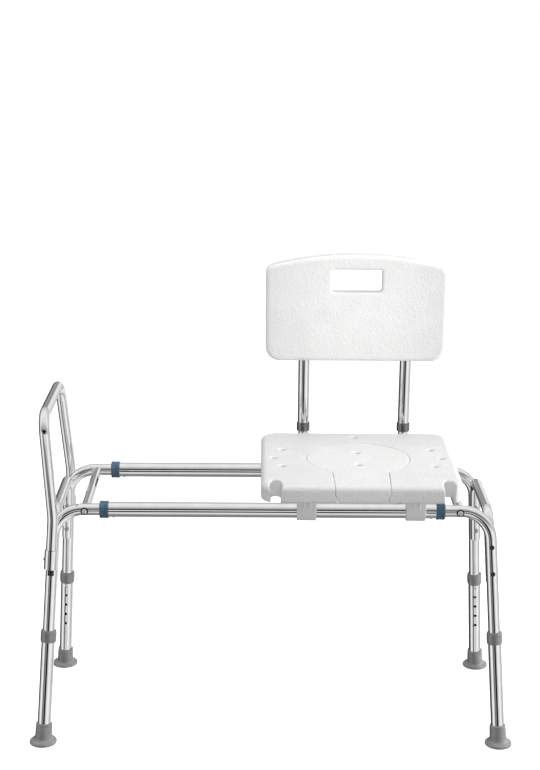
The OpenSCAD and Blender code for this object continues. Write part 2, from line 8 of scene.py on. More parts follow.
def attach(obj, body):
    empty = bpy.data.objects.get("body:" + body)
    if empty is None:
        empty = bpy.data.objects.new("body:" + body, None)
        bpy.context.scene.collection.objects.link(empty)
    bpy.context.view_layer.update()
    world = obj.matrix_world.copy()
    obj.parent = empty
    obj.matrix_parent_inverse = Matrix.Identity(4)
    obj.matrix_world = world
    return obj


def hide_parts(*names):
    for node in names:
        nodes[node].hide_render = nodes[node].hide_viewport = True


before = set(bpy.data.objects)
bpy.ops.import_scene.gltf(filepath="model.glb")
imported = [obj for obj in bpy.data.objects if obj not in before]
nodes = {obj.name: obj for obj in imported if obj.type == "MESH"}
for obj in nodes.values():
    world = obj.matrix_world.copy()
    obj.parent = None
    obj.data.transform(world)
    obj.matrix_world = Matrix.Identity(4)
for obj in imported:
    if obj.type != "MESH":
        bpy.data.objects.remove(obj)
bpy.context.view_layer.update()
scene = bpy.context.scene

# ---------------------------------------------------------------- sizes, metres, as in part.scad
RAIL_Z, RAIL_Y, RAIL_HALF, KNEE_X = 0.510, 0.136, 0.352, 0.456
FOOT_X, FOOT_Y = 0.492, 0.202
RAIL_D, FRAME_D, LEG_D, HANDLE_D, ARCH_D, CROSS_D, WALL = 0.03175, 0.0254, 0.0286, 0.0222, 0.0222, 0.019, 0.0015
SLOPE_X, SLOPE_Y = (FOOT_X - KNEE_X) / RAIL_Z, (FOOT_Y - RAIL_Y) / RAIL_Z
LEG_SCALE = math.sqrt(1 + SLOPE_X ** 2 + SLOPE_Y ** 2)
TILT_X, TILT_Y = -math.asin(SLOPE_Y / LEG_SCALE), -math.atan(SLOPE_X)
BUTTON_Z, PITCH, HOLES, HOLE_D = 0.219, 0.0254, 5, 0.007
COLLAR_LOW, TUBE_TOP = 0.224, 0.246
SEAT_X, SEAT_W, SEAT_FRONT, SEAT_REAR = 0.1855, 0.420, -0.192, 0.202
SEAT_TOP, SEAT_T, SEAT_CORNER = 0.581, 0.037, 0.035
SEAT_LOW = SEAT_TOP - SEAT_T
INSERT_Y, INSERT_R, INSERT_T, INSERT_GAP = 0.006, 0.112, 0.022, 0.0007
THROAT_BACK, THROAT_FRONT, THROAT_LOW, LIP_T, LEDGE = 0.0625, 0.0575, 0.052, 0.018, 0.011
NOTCH_X, NOTCH_D, NOTCH_NECK, NOTCH_MID, NOTCH_END = 0.1795, 0.027, 0.020, 0.016, 0.036
POST_HALF, POST_Y, POST_LOW, POST_HIGH, POST_BUTTON_Z = 0.11425, 0.2145, 0.5835, 0.925, 0.640
STUB_Z, STUB_FRONT, STUB_TOP, STUB_R = 0.556, 0.066, 0.662, 0.024
BACK_W, BACK_LOW, BACK_HIGH, BACK_RISE = 0.402, 0.750, 0.989, 0.019
BACK_FRONT, BACK_T, BACK_CORNER = 0.188, 0.029, 0.032
GRIP_W, GRIP_H, GRIP_Z = 0.112, 0.050, 0.931
CLAMP_R, CLAMP_W, EAR = 0.0212, 0.041, 0.015
CROSS_X = KNEE_X - 0.0633
SOCKET_D, SOCKET_LOW, SOCKET_H, SOCKET_OUT = 0.0274, 0.3885, 0.041, 0.0282
HANDLE_TOP, HANDLE_BEND, HANDLE_OUT, HANDLE_R = 0.711, 0.500, 0.472, 0.046
ARCH_TOP, ARCH_END, ARCH_R, ARCH_BOLTS = 0.498, 0.350, 0.035, (0.378, 0.435)
CORNERS = {"fl": (-1, -1), "fr": (1, -1), "rl": (-1, 1), "rr": (1, 1)}


def leg_point(z):
    return Vector((FOOT_X - z * SLOPE_X, -(FOOT_Y - z * SLOPE_Y), z))


def corner(side, face):
    """Mirrors what is drawn for the front right corner."""
    return Matrix.Diagonal((side, -face, 1, 1))


def on_leg(z):
    """Front right leg frame at height z: local z runs up the leg."""
    return Matrix.Translation(leg_point(z)) @ Matrix.Rotation(TILT_Y, 4, "Y") @ Matrix.Rotation(TILT_X, 4, "X")


# ---------------------------------------------------------------- mesh helpers
def new_object(name, verts, faces, material, body, slot, replaced=(), matrix=None, sharp=35):
    mesh = bpy.data.meshes.new(name)
    mesh.from_pydata([tuple(v) for v in verts], [], [tuple(f) for f in faces])
    if matrix is not None:
        mesh.transform(matrix)
        if matrix.determinant() < 0:
            mesh.flip_normals()
    mesh.polygons.foreach_set("use_smooth", [True] * len(mesh.polygons))
    if sharp:
        mesh.set_sharp_from_angle(angle=math.radians(sharp))
    mesh.update()
    obj = bpy.data.objects.new(name, mesh)
    scene.collection.objects.link(obj)
    mesh.materials.append(material)
    if body:
        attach(obj, body)
        if replaced:
            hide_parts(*replaced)
    return obj


def merge(parts):
    """Joins (verts, faces) lists into one."""
    verts, faces = [], []
    for v, f in parts:
        base = len(verts)
        verts += [Vector(p) for p in v]
        faces += [tuple(i + base for i in face) for face in f]
    return verts, faces


def moved(part, matrix):
    v, f = part
    flip = matrix.determinant() < 0
    return [matrix @ Vector(p) for p in v], [tuple(reversed(x)) if flip else tuple(x) for x in f]


def rings_to_mesh(rings, closed=True):
    """Quads between rings of equal count; closed joins the last ring to the first."""
    n = len(rings[0])
    verts = [p for r in rings for p in r]
    faces = []
    count = len(rings)
    for i in range(count if closed else count - 1):
        a, b = i * n, ((i + 1) % count) * n
        for j in range(n):
            k = (j + 1) % n
            faces.append((a + j, a + k, b + k, b + j))
    return verts, faces


def lathe(profile, n=48):
    """Surface of revolution about z from (r, z) points, lowest axis point first; points with r 0 become poles."""
    verts, faces, rows = [], [], []
    for r, z in profile:
        if r < 1e-7:
            rows.append([len(verts)])
            verts.append(Vector((0, 0, z)))
        else:
            rows.append(list(range(len(verts), len(verts) + n)))
            turns = [2 * math.pi * j / n for j in range(n)]
            verts += [Vector((r * math.cos(a), r * math.sin(a), z)) for a in turns]
    for a, b in zip(rows, rows[1:]):
        for j in range(n):
            k = (j + 1) % n
            if len(a) == 1 and len(b) == 1:
                continue
            if len(a) == 1:
                faces.append((a[0], b[k], b[j]))
            elif len(b) == 1:
                faces.append((a[j], a[k], b[0]))
            else:
                faces.append((a[j], a[k], b[k], b[j]))
    return verts, faces


def ring_lathe(profile, n=48):
    """A closed ring: the profile is a loop of (r, z) points, anticlockwise seen with r to the right."""
    rings = [[Vector((r * math.cos(2 * math.pi * j / n), r * math.sin(2 * math.pi * j / n), z)) for j in range(n)]
             for r, z in profile]
    return rings_to_mesh(rings)


def rounded(loop, radius, steps=3):
    """Rounds the corners of a closed (r, z) loop; radius is one value or one for each corner."""
    out, count = [], len(loop)
    for i, p in enumerate(loop):
        rad = radius[i] if isinstance(radius, (list, tuple)) else radius
        p, a, b = Vector(p), Vector(loop[i - 1]), Vector(loop[(i + 1) % count])
        if rad <= 0:
            out.append(tuple(p))
            continue
        u, v = (a - p), (b - p)
        cut = min(rad, u.length * 0.45, v.length * 0.45)
        s, e = p + u.normalized() * cut, p + v.normalized() * cut
        for k in range(steps + 1):
            t = k / steps
            out.append(tuple(s * (1 - t) ** 2 + p * 2 * t * (1 - t) + e * t * t))
    return out


def filleted(points, radii, arc=math.radians(4)):
    """Path through the points with a circular bend at each inner point, as a list of positions."""
    points = [Vector(p) for p in points]
    out = [points[0]]
    for i, r in enumerate(radii, 1):
        u, v = (points[i] - points[i - 1]).normalized(), (points[i + 1] - points[i]).normalized()
        angle = u.angle(v)
        reach = r * math.tan(angle / 2)
        start = points[i] - u * reach
        centre = points[i] + (v - u).normalized() * r / math.cos(angle / 2)
        axis = u.cross(v).normalized()
        steps = max(2, round(angle / arc))
        for k in range(steps + 1):
            out.append(centre + Matrix.Rotation(angle * k / steps, 3, axis) @ (start - centre))
    out.append(points[-1])
    return out


def densify(path, step):
    out = [path[0]]
    for a, b in zip(path, path[1:]):
        n = max(1, math.ceil((b - a).length / step))
        out += [a.lerp(b, k / n) for k in range(1, n + 1)]
    return out


def swept_tube(points, radii, d, wall, n=40, end_step=0.003, step=0.03):
    """Bent tube with open, rounded ends and its bore."""
    path = filleted(points, radii)
    first, last = (path[1] - path[0]).normalized(), (path[-1] - path[-2]).normalized()
    path = [path[0], path[0] + first * end_step] + path[1:-1] + [path[-1] - last * end_step, path[-1]]
    path = densify(path, step)
    tangents = []
    for i in range(len(path)):
        a = path[i] - path[i - 1] if i else path[1] - path[0]
        b = path[i + 1] - path[i] if i + 1 < len(path) else a
        tangents.append((a.normalized() + b.normalized()).normalized())
    side = tangents[0].orthogonal().normalized()
    frames = []
    for i, t in enumerate(tangents):
        if i:
            side = (side - t * side.dot(t)).normalized()
        frames.append((side.copy(), t.cross(side)))
    def ring(i, radius, shift=0.0):
        s, b = frames[i]
        c = path[i] + tangents[i] * shift
        return [c + (s * math.cos(2 * math.pi * j / n) + b * math.sin(2 * math.pi * j / n)) * radius
                for j in range(n)]
    r, lip, last_i = d / 2, min(0.0004, wall / 3), len(path) - 1
    rings = [ring(0, r, lip)] + [ring(i, r) for i in range(1, last_i)] + [ring(last_i, r, -lip)]
    rings += [ring(last_i, r - lip * 0.3, -lip * 0.3), ring(last_i, r - lip)]
    rings += [ring(last_i, r - wall + lip), ring(last_i, r - wall + lip * 0.3, -lip * 0.3),
              ring(last_i, r - wall, -lip)]
    rings += [ring(i, r - wall) for i in range(last_i - 1, 0, -1)]
    rings += [ring(0, r - wall, lip), ring(0, r - wall + lip * 0.3, lip * 0.3), ring(0, r - wall + lip)]
    rings += [ring(0, r - lip), ring(0, r - lip * 0.3, lip * 0.3)]
    v, f = rings_to_mesh(rings)
    return v, f


def drilled_tube(length, d, wall, holes):
    """Straight tube along z from 0 with round holes at (angle, z, diameter); the seam is opposite the holes."""
    r = d / 2
    half = math.pi * r
    nu, nv = 44, max(2, round(length / 0.006))
    pts, keep = [], []
    for h_angle, h_z, h_d in holes:
        keep.append((h_angle * r, h_z, h_d / 2))
    for i in range(nu + 1):
        for j in range(nv + 1):
            u, v = -half + 2 * half * i / nu, length * j / nv
            edge = i in (0, nu) or j in (0, nv)
            if edge or all(math.hypot(u - a, v - b) > rad + 0.0012 for a, b, rad in keep):
                pts.append((u, v))
    edges = []
    for a, b, rad in keep:
        base = len(pts)
        for k in range(20):
            pts.append((a + rad * math.cos(2 * math.pi * k / 20), b + rad * math.sin(2 * math.pi * k / 20)))
            edges.append((base + k, base + (k + 1) % 20))
    vs, _, fs = delaunay_2d_cdt([Vector(p) for p in pts], edges, [], 0, 1e-7)[:3]
    faces = []
    for f in fs:
        c = sum((vs[i] for i in f), Vector((0, 0))) / len(f)
        if all(math.hypot(c.x - a, c.y - b) > rad * 0.98 for a, b, rad in keep):
            faces.append(tuple(f))
    verts = [Vector((r * math.cos(v.x / r), r * math.sin(v.x / r), v.y)) for v in vs]
    bm = bmesh.new()
    for v in verts:
        bm.verts.new(v)
    bm.verts.ensure_lookup_table()
    for f in faces:
        try:
            bm.faces.new([bm.verts[i] for i in f])
        except ValueError:
            pass
    bmesh.ops.remove_doubles(bm, verts=bm.verts, dist=1e-6)
    bmesh.ops.delete(bm, geom=[v for v in bm.verts if not v.link_faces], context="VERTS")
    bmesh.ops.recalc_face_normals(bm, faces=bm.faces)
    if sum(f.normal.dot(Vector((f.calc_center_median().x, f.calc_center_median().y, 0))) for f in bm.faces) < 0:
        bmesh.ops.reverse_faces(bm, faces=bm.faces)
    outer = [v.co.copy() for v in bm.verts]
    bm.verts.index_update()
    n = len(outer)
    inner = [Vector((v.x * (r - wall) / r, v.y * (r - wall) / r, v.z)) for v in outer]
    fo = [tuple(v.index for v in f.verts) for f in bm.faces]
    fi = [tuple(i + n for i in reversed(f)) for f in fo]
    rim = []
    for e in bm.edges:
        if len(e.link_faces) == 1:
            loop = e.link_loops[0]
            a, b = loop.vert.index, loop.link_loop_next.vert.index
            rim.append((b, a, a + n, b + n))
    bm.free()
    return outer + inner, fo + fi + rim


def moulding(field, low, high, h):
    """Mesh of the solid where field(x, y, z) is negative, sampled every h metres."""
    low = np.array(low) - 2.5 * h
    count = np.ceil((np.array(high) + 2.5 * h - low) / h).astype(int) + 1
    x = (low[0] + h * np.arange(count[0]))[:, None, None]
    y = (low[1] + h * np.arange(count[1]))[None, :, None]
    z = (low[2] + h * np.arange(count[2]))[None, None, :]
    values = np.broadcast_to(field(x, y, z), tuple(count))
    values = np.ascontiguousarray(np.clip(values / h, -3, 3).astype(np.float32))
    grid = openvdb.FloatGrid(3.0)
    grid.copyFromArray(values)
    points, quads = grid.convertToQuads(0.0)
    points = points.astype(float) * h + low
    return points, quads[:, ::-1]


def moulded_object(name, field, low, high, h, material, body, replaced=(), matrix=None, smooth=1):
    points, quads = moulding(field, low, high, h)
    mesh = bpy.data.meshes.new(name)
    mesh.vertices.add(len(points))
    mesh.vertices.foreach_set("co", points.astype(np.float32).ravel())
    mesh.loops.add(len(quads) * 4)
    mesh.loops.foreach_set("vertex_index", quads.astype(np.int32).ravel())
    mesh.polygons.add(len(quads))
    mesh.polygons.foreach_set("loop_start", np.arange(0, len(quads) * 4, 4, dtype=np.int32))
    mesh.update(calc_edges=True)
    if matrix is not None:
        mesh.transform(matrix)
        if matrix.determinant() < 0:
            mesh.flip_normals()
    mesh.polygons.foreach_set("use_smooth", [True] * len(mesh.polygons))
    mesh.update()
    obj = bpy.data.objects.new(name, mesh)
    scene.collection.objects.link(obj)
    mesh.materials.append(material)
    if body:
        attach(obj, body)
        if replaced:
            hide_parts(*replaced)
    return obj


# signed distance pieces
def smax(a, b, k):
    h = np.maximum(k - np.abs(a - b), 0) / k
    return np.maximum(a, b) + h * h * k / 4


def smin(a, b, k):
    return -smax(-a, -b, k)


def box2(x, y, w, l, r):
    """Rounded rectangle, full width w and length l."""
    qx, qy = np.abs(x) - (w / 2 - r), np.abs(y) - (l / 2 - r)
    return np.minimum(np.maximum(qx, qy), 0) + np.hypot(np.maximum(qx, 0), np.maximum(qy, 0)) - r


def slab(d2, z, low, high, r_low, r_high):
    """Extrudes an outline distance between two heights with rounded edges."""
    mid = (low + high) / 2
    dz = np.abs(z - mid) - (high - low) / 2
    r = np.where(z > mid, r_high, r_low)
    qx, qz = d2 + r, dz + r
    return np.minimum(np.maximum(qx, qz), 0) + np.hypot(np.maximum(qx, 0), np.maximum(qz, 0)) - r


# ---------------------------------------------------------------- materials
def shader(name, base, roughness, metallic=0.0):
    m = bpy.data.materials.new(name)
    m.use_nodes = True
    t = m.node_tree
    b = t.nodes["Principled BSDF"]
    b.inputs["Base Color"].default_value = (*base, 1)
    b.inputs["Roughness"].default_value = roughness
    b.inputs["Metallic"].default_value = metallic
    return m, t, b


def coords(t):
    return t.nodes.new("ShaderNodeTexCoord").outputs["Object"]


def noise(t, vector, scale, detail=3.0, rough=0.55, stretch=None):
    if stretch:
        m = t.nodes.new("ShaderNodeMapping")
        m.inputs["Scale"].default_value = stretch
        t.links.new(vector, m.inputs["Vector"])
        vector = m.outputs["Vector"]
    n = t.nodes.new("ShaderNodeTexNoise")
    n.inputs["Scale"].default_value = scale
    n.inputs["Detail"].default_value = detail
    n.inputs["Roughness"].default_value = rough
    t.links.new(vector, n.inputs["Vector"])
    return n.outputs["Fac"]


def ramp(t, value, stops):
    r = t.nodes.new("ShaderNodeValToRGB")
    e = r.color_ramp.elements
    e[0].position, e[0].color = stops[0][0], (*stops[0][1], 1)
    e[1].position, e[1].color = stops[-1][0], (*stops[-1][1], 1)
    for p, c in stops[1:-1]:
        s = e.new(p)
        s.color = (*c, 1)
    t.links.new(value, r.inputs["Fac"])
    return r.outputs["Color"]


def spread(t, value, low, high):
    m = t.nodes.new("ShaderNodeMapRange")
    m.inputs["To Min"].default_value, m.inputs["To Max"].default_value = low, high
    t.links.new(value, m.inputs["Value"])
    return m.outputs["Result"]


def bump(t, b, height, strength, distance, chain=None):
    n = t.nodes.new("ShaderNodeBump")
    n.inputs["Strength"].default_value = strength
    n.inputs["Distance"].default_value = distance
    t.links.new(height, n.inputs["Height"])
    if chain:
        t.links.new(chain, n.inputs["Normal"])
    t.links.new(n.outputs["Normal"], b.inputs["Normal"])
    return n.outputs["Normal"]


def chrome():
    m, t, b = shader("chrome_plate", (0.90, 0.905, 0.91), 0.05, 1.0)
    v = coords(t)
    smudge = noise(t, v, 35, 4)
    t.links.new(ramp(t, smudge, [(0.3, (0.86, 0.865, 0.87)), (0.7, (0.94, 0.943, 0.946))]),
                b.inputs["Base Color"])
    t.links.new(spread(t, noise(t, v, 90, 5), 0.02, 0.07), b.inputs["Roughness"])
    bump(t, b, noise(t, v, 260, 4), 0.04, 0.0002)
    return m


def pebbled(name, tone):
    m, t, b = shader(name, tone, 0.42)
    v = coords(t)
    cells = t.nodes.new("ShaderNodeTexVoronoi")
    cells.feature = "SMOOTH_F1"
    cells.inputs["Scale"].default_value = 190
    cells.inputs["Smoothness"].default_value = 0.6
    warp = t.nodes.new("ShaderNodeMixRGB")
    warp.blend_type = "ADD"
    warp.inputs["Fac"].default_value = 0.006
    n = t.nodes.new("ShaderNodeTexNoise")
    n.inputs["Scale"].default_value = 120
    t.links.new(v, n.inputs["Vector"])
    t.links.new(v, warp.inputs["Color1"])
    t.links.new(n.outputs["Color"], warp.inputs["Color2"])
    t.links.new(warp.outputs["Color"], cells.inputs["Vector"])
    soft = noise(t, v, 22, 3)
    tint = [c * 0.955 for c in tone]
    t.links.new(ramp(t, soft, [(0.3, tint), (0.7, tone)]), b.inputs["Base Color"])
    t.links.new(spread(t, noise(t, v, 60, 4), 0.36, 0.52), b.inputs["Roughness"])
    first = bump(t, b, cells.outputs["Distance"], 0.6, 0.0012)
    bump(t, b, noise(t, v, 420, 4), 0.45, 0.0007, first)
    b.inputs["Subsurface Weight"].default_value = 0.06
    b.inputs["Subsurface Scale"].default_value = 0.004
    return m


def plastic(name, tone, dark, rough=(0.3, 0.45), grain=900, depth=0.0002, mottle=60, ior=1.5):
    m, t, b = shader(name, tone, 0.4)
    b.inputs["IOR"].default_value = ior
    v = coords(t)
    t.links.new(ramp(t, noise(t, v, mottle, 5), [(0.3, dark), (0.7, tone)]), b.inputs["Base Color"])
    t.links.new(spread(t, noise(t, v, 140, 4), rough[0], rough[1]), b.inputs["Roughness"])
    bump(t, b, noise(t, v, grain, 4), 0.4, depth)
    return m


def metal(name, tone, dark, rough=(0.22, 0.4)):
    m, t, b = shader(name, tone, 0.3, 1.0)
    v = coords(t)
    t.links.new(ramp(t, noise(t, v, 300, 4), [(0.3, dark), (0.7, tone)]), b.inputs["Base Color"])
    t.links.new(spread(t, noise(t, v, 500, 3), rough[0], rough[1]), b.inputs["Roughness"])
    bump(t, b, noise(t, v, 900, 3), 0.3, 0.0001)
    return m


CHROME = chrome()
WHITE = pebbled("white_pebbled_moulding", (0.84, 0.84, 0.835))
INSERT = pebbled("white_pebbled_insert", (0.87, 0.87, 0.865))
CLAMP = plastic("white_smooth_plastic", (0.92, 0.92, 0.915), (0.88, 0.88, 0.875), (0.25, 0.4), 500, 0.0002)
BLUE = plastic("slate_blue_plastic", (0.095, 0.175, 0.255), (0.045, 0.10, 0.165), (0.25, 0.42), 700, 0.0003, 150)
GREY = plastic("grey_collar_plastic", (0.27, 0.27, 0.273), (0.18, 0.18, 0.182), (0.28, 0.42), 800, 0.0003, 120, 2.2)
RUBBER = plastic("grey_rubber", (0.32, 0.32, 0.322), (0.22, 0.22, 0.222), (0.36, 0.5), 600, 0.0004, 90, 2.0)
CAP = plastic("dark_cap_plastic", (0.025, 0.025, 0.026), (0.012, 0.012, 0.013), (0.1, 0.2), 800, 0.0001, 150, 2.9)
STEEL = metal("plated_steel", (0.62, 0.62, 0.63), (0.45, 0.45, 0.46))
ZINC = metal("bright_zinc", (0.92, 0.92, 0.93), (0.7, 0.7, 0.71), (0.42, 0.55))
BLACK_STEEL = metal("black_oxide_steel", (0.10, 0.10, 0.105), (0.045, 0.045, 0.048), (0.2, 0.35))

# ---------------------------------------------------------------- camera, world, floor
LENS, SENSOR, DISTANCE = 74.07, 36, 3.468               # millimetres, millimetres and metres
SHIFT_X, SHIFT_Y = -0.0026, 0.1695                      # as shares of the picture's height
PITCH_A, ROLL_A, YAW_A = math.radians(19.5), math.radians(0.431), math.radians(-0.412)
target = Vector((0, 0, 0.45))
back = Vector((math.sin(YAW_A) * math.cos(PITCH_A), -math.cos(YAW_A) * math.cos(PITCH_A), math.sin(PITCH_A)))
right = (-back).cross(Vector((0, 0, 1))).normalized()
up = right.cross(-back)
r2 = right * math.cos(ROLL_A) + up * math.sin(ROLL_A)
u2 = -right * math.sin(ROLL_A) + up * math.cos(ROLL_A)
camera_data = bpy.data.cameras.new("camera")
camera_data.sensor_width, camera_data.lens = SENSOR, LENS
camera_data.shift_x, camera_data.shift_y = SHIFT_X, SHIFT_Y
camera_data.clip_start, camera_data.clip_end = 0.1, 60
camera = bpy.data.objects.new("camera", camera_data)
camera.matrix_world = Matrix.Translation(target + back * DISTANCE) @ Matrix((r2, u2, back)).transposed().to_4x4()
scene.collection.objects.link(camera)
scene.camera = camera
scene.view_settings.view_transform = "Standard"
scene.view_settings.look = "None"


def flat_card(name, x0, x1, y0, y1, z, material):
    mesh = bpy.data.meshes.new(name)
    mesh.from_pydata([(x0, y0, z), (x1, y0, z), (x1, y1, z), (x0, y1, z)], [], [(0, 1, 2, 3)])
    mesh.materials.append(material)
    obj = bpy.data.objects.new(name, mesh)
    scene.collection.objects.link(obj)
    return obj


floor_mat, ft, fb = shader("pale_floor", (0.93, 0.93, 0.93), 0.75)
ft.links.new(ramp(ft, noise(ft, coords(ft), 3, 2), [(0.3, (0.925, 0.925, 0.925)), (0.7, (0.935, 0.935, 0.935))]),
             fb.inputs["Base Color"])
fb.inputs["Specular IOR Level"].default_value = 0.1
fb.inputs["Emission Color"].default_value = (1, 1, 1, 1)
fb.inputs["Emission Strength"].default_value = 0.66
floor = flat_card("floor", -14, 14, -14, 14, -0.0005, floor_mat)
floor.visible_glossy = floor.visible_diffuse = False


def build_world():
    w = bpy.data.worlds.new("studio")
    scene.world = w
    w.use_nodes = True
    t = w.node_tree
    t.nodes.clear()
    out = t.nodes.new("ShaderNodeOutputWorld")
    path = t.nodes.new("ShaderNodeLightPath")
    direction = t.nodes.new("ShaderNodeTexCoord").outputs["Generated"]
    xyz = t.nodes.new("ShaderNodeSeparateXYZ")
    t.links.new(direction, xyz.inputs["Vector"])

    def math_node(op, a, b=None):
        n = t.nodes.new("ShaderNodeMath")
        n.operation = op
        for i, v in enumerate((a, b)):
            if v is None:
                continue
            if isinstance(v, (int, float)):
                n.inputs[i].default_value = v
            else:
                t.links.new(v, n.inputs[i])
        return n.outputs["Value"]

    # The three tables below, level, round_ and behind, give the studio's brightness by direction, in degrees.
    # They are set so that rails, upright tubes and tubes that run front to back each mirror the stripes of polished
    # chrome.
    # Angle about the vertical, from 0 at the rear (+Y) to 1 all the way round
    turn = math_node("ARCTAN2", xyz.outputs["X"], math_node("MULTIPLY", xyz.outputs["Y"], -1.0))
    turn = math_node("ADD", math_node("DIVIDE", turn, 2 * math.pi), 0.5)          # 0.5 is the camera side

    def stops(value, table, unit):
        return ramp(t, value, [(p / unit + 0.5, (c, c, c)) for p, c in table])

    # seen by level tubes: angle from the camera side up and over to the back, degrees
    over = math_node("ARCTAN2", xyz.outputs["Z"], math_node("MULTIPLY", xyz.outputs["Y"], -1.0))
    over = math_node("ADD", math_node("DIVIDE", over, 2 * math.pi), 0.5)
    level = stops(over, [(-180, 0.6), (-155, 0.7), (-120, 0.25), (-80, 0.22), (-60, 0.32), (-45, 0.8),
                         (-30, 0.75), (-22, 0.45), (-17, 0.0), (-4, 0.0), (0, 1.0), (8, 1.0), (11, 0.0),
                         (26, 0.0), (31, 0.32), (45, 0.5), (67, 0.78), (102, 0.92), (130, 0.75),
                         (156, 0.5), (180, 0.6)], 360)
    # seen by upright tubes: angle round to the right from the camera side
    round_ = stops(turn, [(-180, 0.2), (-160, 0.05), (-112, 0.05), (-98, 0.3), (-85, 0.7), (-68, 1.0),
                          (-50, 0.8), (-40, 0.2), (-33, 0.08), (-25, 0.28), (-18, 0.3), (-10, 0.03),
                          (0, 0.02), (7, 0.3), (16, 0.5), (32, 0.85), (55, 1.0), (75, 0.8), (98, 0.5),
                          (115, 0.5), (140, 0.85), (180, 0.9)], 360)
    side = math_node("ABSOLUTE", xyz.outputs["X"])
    side = stops(side, [(0.09 - 0.5, 0.0), (0.26 - 0.5, 1.0)], 1)
    low_half = stops(xyz.outputs["Z"], [(0.05 - 0.5, 1.0), (0.35 - 0.5, 0.0)], 1)
    share = math_node("MULTIPLY", side, low_half)
    mix = t.nodes.new("ShaderNodeMixRGB")
    t.links.new(share, mix.inputs["Fac"])
    t.links.new(level, mix.inputs["Color1"])
    t.links.new(round_, mix.inputs["Color2"])
    # seen by tubes that run front to back: angle about that direction, 0 straight up
    about = math_node("ARCTAN2", xyz.outputs["X"], xyz.outputs["Z"])
    about = math_node("ADD", math_node("DIVIDE", about, 2 * math.pi), 0.5)
    behind = stops(about, [(-180, 0.3), (-130, 0.12), (-100, 0.08), (-74, 0.12), (-48, 0.34), (-20, 0.36),
                           (0, 0.22), (14, 0.35), (32, 0.78), (52, 0.9), (94, 0.75), (120, 0.72),
                           (157, 0.5), (180, 0.3)], 360)
    mix_back = t.nodes.new("ShaderNodeMixRGB")
    t.links.new(stops(xyz.outputs["Y"], [(0.86 - 0.5, 0.0), (0.92 - 0.5, 1.0)], 1), mix_back.inputs["Fac"])
    t.links.new(mix.outputs["Color"], mix_back.inputs["Color1"])
    t.links.new(behind, mix_back.inputs["Color2"])
    height = math_node("MULTIPLY", xyz.outputs["Z"], 0.5)
    light = stops(height, [(-0.5, 0.42), (0.0, 0.32), (0.12, 0.42), (0.5, 1.8)], 1)
    glossy, even, shown = (t.nodes.new("ShaderNodeBackground") for _ in range(3))
    t.links.new(mix_back.outputs["Color"], glossy.inputs["Color"])
    t.links.new(light, even.inputs["Color"])
    shown.inputs["Color"].default_value = (1, 1, 1, 1)
    a, b = t.nodes.new("ShaderNodeMixShader"), t.nodes.new("ShaderNodeMixShader")
    t.links.new(path.outputs["Is Glossy Ray"], a.inputs["Fac"])
    t.links.new(even.outputs["Background"], a.inputs[1])
    t.links.new(glossy.outputs["Background"], a.inputs[2])
    t.links.new(path.outputs["Is Camera Ray"], b.inputs["Fac"])
    t.links.new(a.outputs["Shader"], b.inputs[1])
    t.links.new(shown.outputs["Background"], b.inputs[2])
    t.links.new(b.outputs["Shader"], out.inputs["Surface"])


build_world()


def softbox(name, location, aim, size, power, size_y=None):
    light = bpy.data.lights.new(name, "AREA")
    light.shape = "RECTANGLE"
    light.size, light.size_y = size, size_y or size
    light.energy = power
    obj = bpy.data.objects.new(name, light)
    obj.location = location
    obj.rotation_euler = (Vector(aim) - Vector(location)).to_track_quat("-Z", "Y").to_euler()
    obj.visible_glossy = False
    scene.collection.objects.link(obj)


softbox("key_overhead", (-0.3, -0.3, 3.4), (0.1, 0, 0.4), 3.0, 58)
softbox("side_right", (2.6, 0.1, 0.9), (0.1, 0, 0.5), 1.6, 75)
back_light = bpy.data.lights.new("backrest_spot", "SPOT")
back_light.energy, back_light.spot_size = 185, math.radians(13)
back_light.spot_blend, back_light.shadow_soft_size = 0.5, 0.25
back_spot = bpy.data.objects.new("backrest_spot", back_light)
back_spot.location = (SEAT_X, -3.0, 1.25)
back_aim = Vector((SEAT_X, BACK_FRONT, 0.90)) - back_spot.location
back_spot.rotation_euler = back_aim.to_track_quat("-Z", "Y").to_euler()
back_spot.visible_glossy = False
scene.collection.objects.link(back_spot)

# ---------------------------------------------------------------- frame tubes
for key, y, node in (("front", -RAIL_Y, "rail_front"), ("rear", RAIL_Y, "rail_rear")):
    v, f = swept_tube([(-RAIL_HALF, y, RAIL_Z), (RAIL_HALF, y, RAIL_Z)], [], RAIL_D, 0.0016, n=56, step=0.05)
    new_object("slide_rail_" + key, v, f, CHROME, "frame", "chrome_tube", (node,))

for key, (s, fc) in CORNERS.items():
    pts = [(RAIL_HALF - 0.06, -RAIL_Y, RAIL_Z), (KNEE_X, -RAIL_Y, RAIL_Z), leg_point(BUTTON_Z - 0.024)]
    v, f = swept_tube(pts, [0.064], FRAME_D, WALL, n=48)
    new_object("bent_end_tube_" + key, v, f, CHROME, "frame", "chrome_tube", ("end_tube_" + key,), corner(s, fc))

